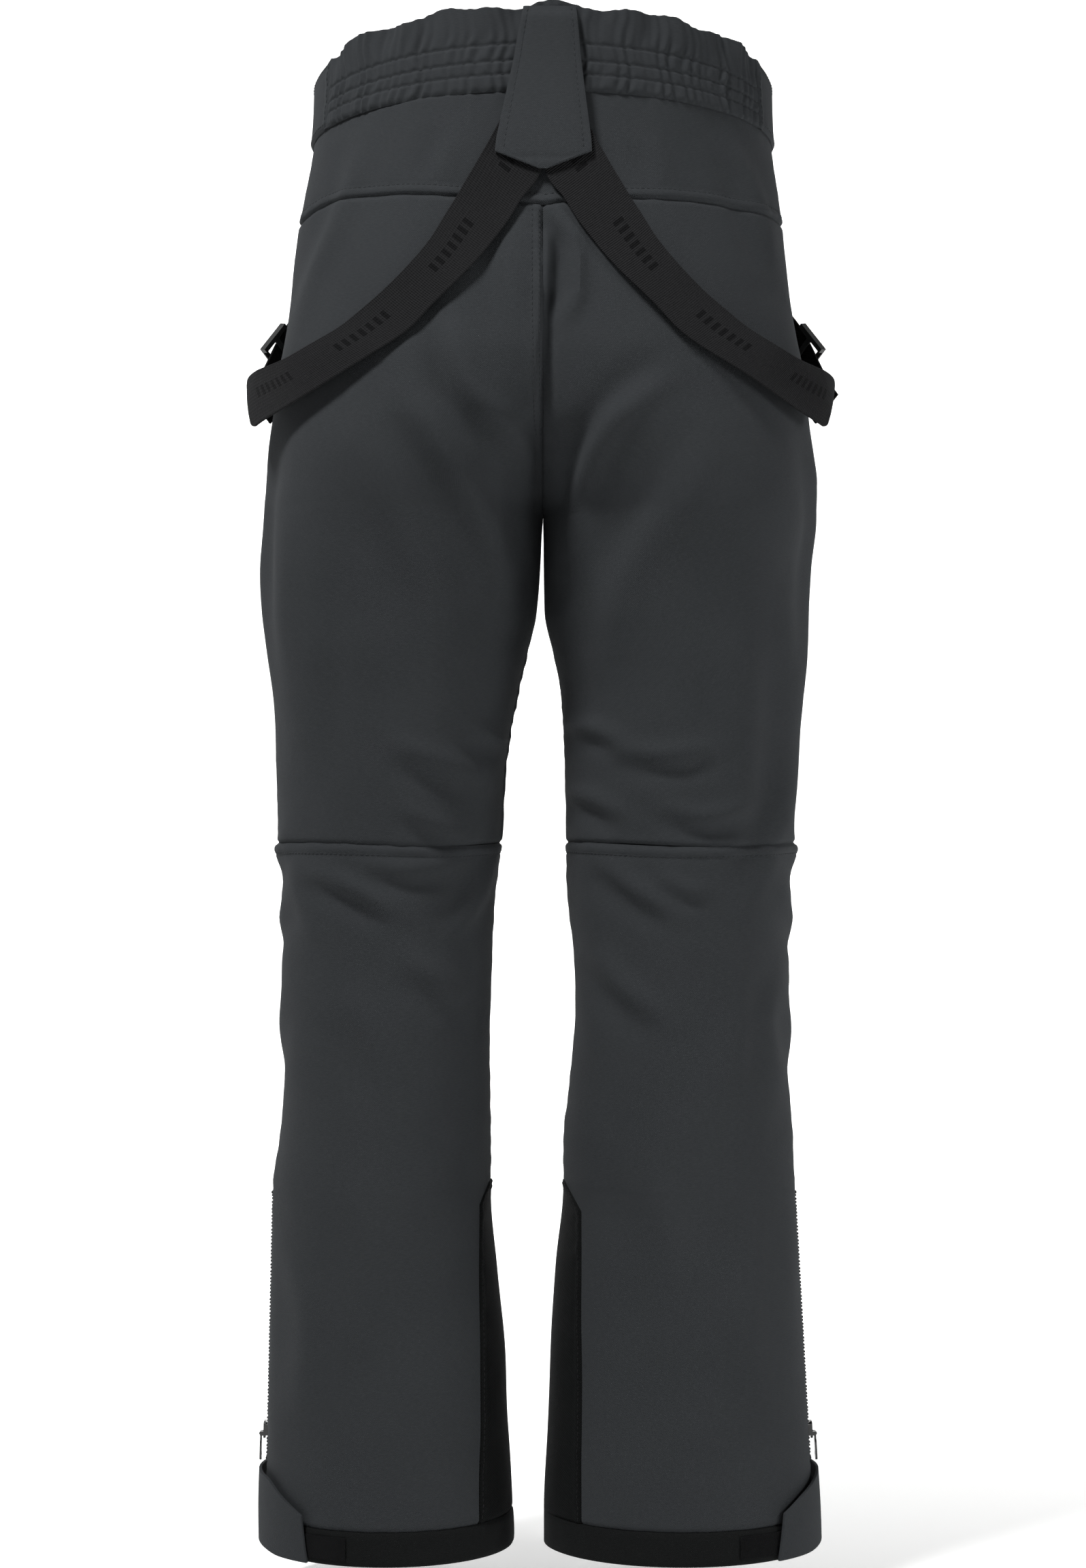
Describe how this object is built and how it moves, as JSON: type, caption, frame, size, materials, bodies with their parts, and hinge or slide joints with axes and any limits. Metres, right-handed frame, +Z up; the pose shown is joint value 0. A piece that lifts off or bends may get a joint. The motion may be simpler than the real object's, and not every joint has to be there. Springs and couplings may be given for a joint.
{
  "type": "ski pants",
  "caption": "Padded ski pants with a shirred back waist, detachable elastic braces, zipped leg ends with gussets, hem tabs, kick patches and inner snow gaiters.",
  "frame": {"origin": "centre of the waist opening, level with the rim at the side seams", "axes": "+X towards the wearer's right, +Y towards the wearer's front, +Z up"},
  "size_m": [0.4496, 0.2564, 1.079],
  "materials": {
    "shell_fabric": "matt woven polyester with a water-repellent finish",
    "lining_taffeta": "smooth woven taffeta",
    "reinforced_fabric": "heavy matt nylon",
    "elastic_webbing": "woven elastic",
    "zip_tape": "twill tape",
    "zip_teeth": "moulded, satin",
    "zip_metal": "black enamel",
    "buckle_plastic": "moulded acetal, fine texture",
    "hook_and_loop": "hook and loop pile",
    "snap_metal": "black enamel"
  },
  "bodies": {
    "pants": {"back_yoke": "shell_fabric", "boot_hooks": "snap_metal", "brace_anchors": "elastic_webbing", "brace_tab": "shell_fabric", "fly_placket": "shell_fabric", "fly_zip": "zip_tape", "gaiter_elastics": "elastic_webbing", "left_back_calf": "shell_fabric", "left_back_thigh": "shell_fabric", "left_front_calf": "shell_fabric", "left_front_thigh": "shell_fabric", "left_gaiter": "lining_taffeta", "left_hem_band": "reinforced_fabric", "left_kick_patch": "reinforced_fabric", "left_leg_gusset": "reinforced_fabric", "left_leg_zip_tapes": "zip_tape", "left_leg_zip_teeth": "zip_teeth", "left_lining": "lining_taffeta", "left_loop_patch": "hook_and_loop", "left_pocket_zip": "zip_tape", "pocket_bags": "lining_taffeta", "right_back_calf": "shell_fabric", "right_back_thigh": "shell_fabric", "right_front_calf": "shell_fabric", "right_front_thigh": "shell_fabric", "right_gaiter": "lining_taffeta", "right_hem_band": "reinforced_fabric", "right_kick_patch": "reinforced_fabric", "right_leg_gusset": "reinforced_fabric", "right_leg_zip_tapes": "zip_tape", "right_leg_zip_teeth": "zip_teeth", "right_lining": "lining_taffeta", "right_loop_patch": "hook_and_loop", "right_pocket_zip": "zip_tape", "snap_caps": "snap_metal", "snap_posts": "snap_metal", "waist_elastic": "elastic_webbing", "waistband_back": "shell_fabric", "waistband_front_left": "shell_fabric", "waistband_front_right": "shell_fabric"},
    "fly_slider": {"fly_slider": "zip_metal"},
    "fly_puller": {"fly_puller": "zip_metal"},
    "left_leg_slider": {"left_leg_slider": "zip_metal"},
    "left_leg_puller": {"left_leg_puller": "zip_metal"},
    "right_leg_slider": {"right_leg_slider": "zip_metal"},
    "right_leg_puller": {"right_leg_puller": "zip_metal"},
    "left_pocket_slider": {"left_pocket_slider": "zip_metal"},
    "left_pocket_puller": {"left_pocket_puller": "zip_metal"},
    "right_pocket_slider": {"right_pocket_slider": "zip_metal"},
    "right_pocket_puller": {"right_pocket_puller": "zip_metal"},
    "left_brace": {"left_brace_strap": "elastic_webbing", "left_front_webbing": "elastic_webbing"},
    "left_adjuster": {"left_adjuster": "buckle_plastic"},
    "left_hem_tab": {"left_hem_tab": "shell_fabric", "left_hook_patch": "hook_and_loop"},
    "right_brace": {"right_brace_strap": "elastic_webbing", "right_front_webbing": "elastic_webbing"},
    "right_adjuster": {"right_adjuster": "buckle_plastic"},
    "right_hem_tab": {"right_hem_tab": "shell_fabric", "right_hook_patch": "hook_and_loop"}
  },
  "joints": [
    {"name": "fly_zip", "type": "slide", "parent": "pants", "child": "fly_slider", "axis": [0, -0.0054, -1], "range_m": [0, 0.095]},
    {"name": "fly_pull", "type": "hinge", "parent": "fly_slider", "child": "fly_puller", "pos_m": [0, 0.11507, -0.08703], "axis": [1, 0, 0], "range_deg": [0, 165]},
    {"name": "left_leg_zip", "type": "slide", "parent": "pants", "child": "left_leg_slider", "axis": [0.0222, 0, 0.9998], "range_m": [0, 0.15]},
    {"name": "left_leg_pull", "type": "hinge", "parent": "left_leg_slider", "child": "left_leg_puller", "pos_m": [-0.20259, -0.002, -0.9649], "axis": [0, 1, 0], "range_deg": [0, 165]},
    {"name": "right_leg_zip", "type": "slide", "parent": "pants", "child": "right_leg_slider", "axis": [-0.0552, 0, 0.9985], "range_m": [0, 0.15]},
    {"name": "right_leg_pull", "type": "hinge", "parent": "right_leg_slider", "child": "right_leg_puller", "pos_m": [0.19548, -0.002, -0.96478], "axis": [0, -1, 0], "range_deg": [0, 165]},
    {"name": "left_pocket_zip", "type": "slide", "parent": "pants", "child": "left_pocket_slider", "axis": [-0.3734, -0.0297, -0.9272], "range_m": [0, 0.085]},
    {"name": "left_pocket_pull", "type": "hinge", "parent": "left_pocket_slider", "child": "left_pocket_puller", "pos_m": [-0.08778, 0.10264, -0.1123], "axis": [0.8627, 0.3563, -0.3589], "range_deg": [0, 165]},
    {"name": "right_pocket_zip", "type": "slide", "parent": "pants", "child": "right_pocket_slider", "axis": [0.3542, -0.0299, -0.9347], "range_m": [0, 0.085]},
    {"name": "right_pocket_pull", "type": "hinge", "parent": "right_pocket_slider", "child": "right_pocket_puller", "pos_m": [0.08686, 0.10266, -0.11152], "axis": [0.8689, -0.3589, 0.3408], "range_deg": [0, 165]},
    {"name": "left_brace_swing", "type": "hinge", "parent": "pants", "child": "left_brace", "pos_m": [-0.018, -0.12, -0.074], "axis": [-0.3891, 0.9212, 0], "range_deg": [0, 85]},
    {"name": "left_adjuster_slide", "type": "slide", "parent": "left_brace", "child": "left_adjuster", "axis": [0.5253, 0.3903, 0.7561], "range_m": [0, 0.09]},
    {"name": "left_hem_tab_peel", "type": "hinge", "parent": "pants", "child": "left_hem_tab", "pos_m": [-0.1986, 0.0226, -1.0145], "axis": [0, 0, -1], "range_deg": [0, 100]},
    {"name": "right_brace_swing", "type": "hinge", "parent": "pants", "child": "right_brace", "pos_m": [0.018, -0.12, -0.074], "axis": [-0.3891, -0.9212, 0], "range_deg": [0, 85]},
    {"name": "right_adjuster_slide", "type": "slide", "parent": "right_brace", "child": "right_adjuster", "axis": [-0.5253, 0.3903, 0.7561], "range_m": [0, 0.09]},
    {"name": "right_hem_tab_peel", "type": "hinge", "parent": "pants", "child": "right_hem_tab", "pos_m": [0.1936, 0.0226, -1.0145], "axis": [0, 0, 1], "range_deg": [0, 100]}
  ]
}
